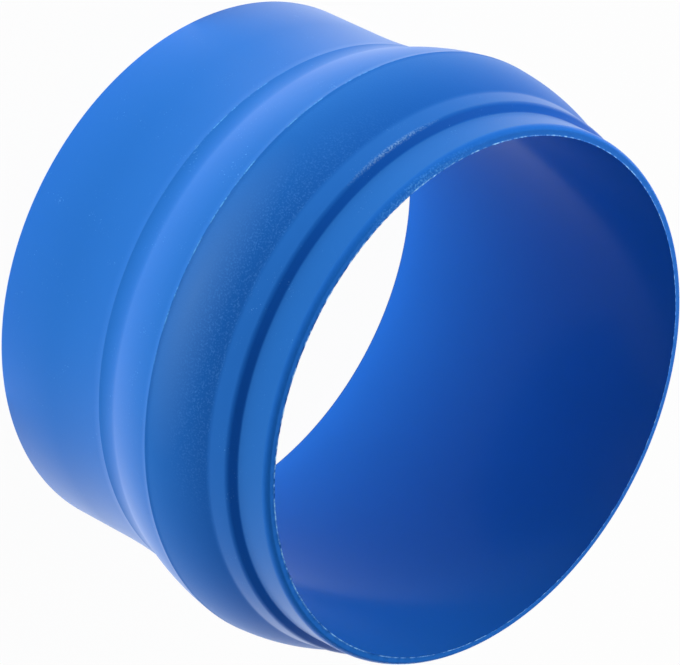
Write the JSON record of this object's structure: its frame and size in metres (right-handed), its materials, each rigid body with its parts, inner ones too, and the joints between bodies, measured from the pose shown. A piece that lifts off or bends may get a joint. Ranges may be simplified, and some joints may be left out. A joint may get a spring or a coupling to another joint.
{
  "type": "compression ring",
  "caption": "Thin moulded plastic compression ring: a plain skirt, a rounded bead, a stepped shoulder and a chamfered lip around a smooth through bore.",
  "frame": {"origin": "centre of the ring at the skirt's open end, on the surface it stands on", "axes": "+Z along the ring's axis, from the skirt up to the mouth"},
  "size_m": [0.0576, 0.0576, 0.0363],
  "materials": {
    "blue_plastic": "moulded, satin on the bore and skirt, fine matt grain on the bead"
  },
  "bodies": {
    "root": {"compression_ring": "blue_plastic"}
  },
  "joints": []
}
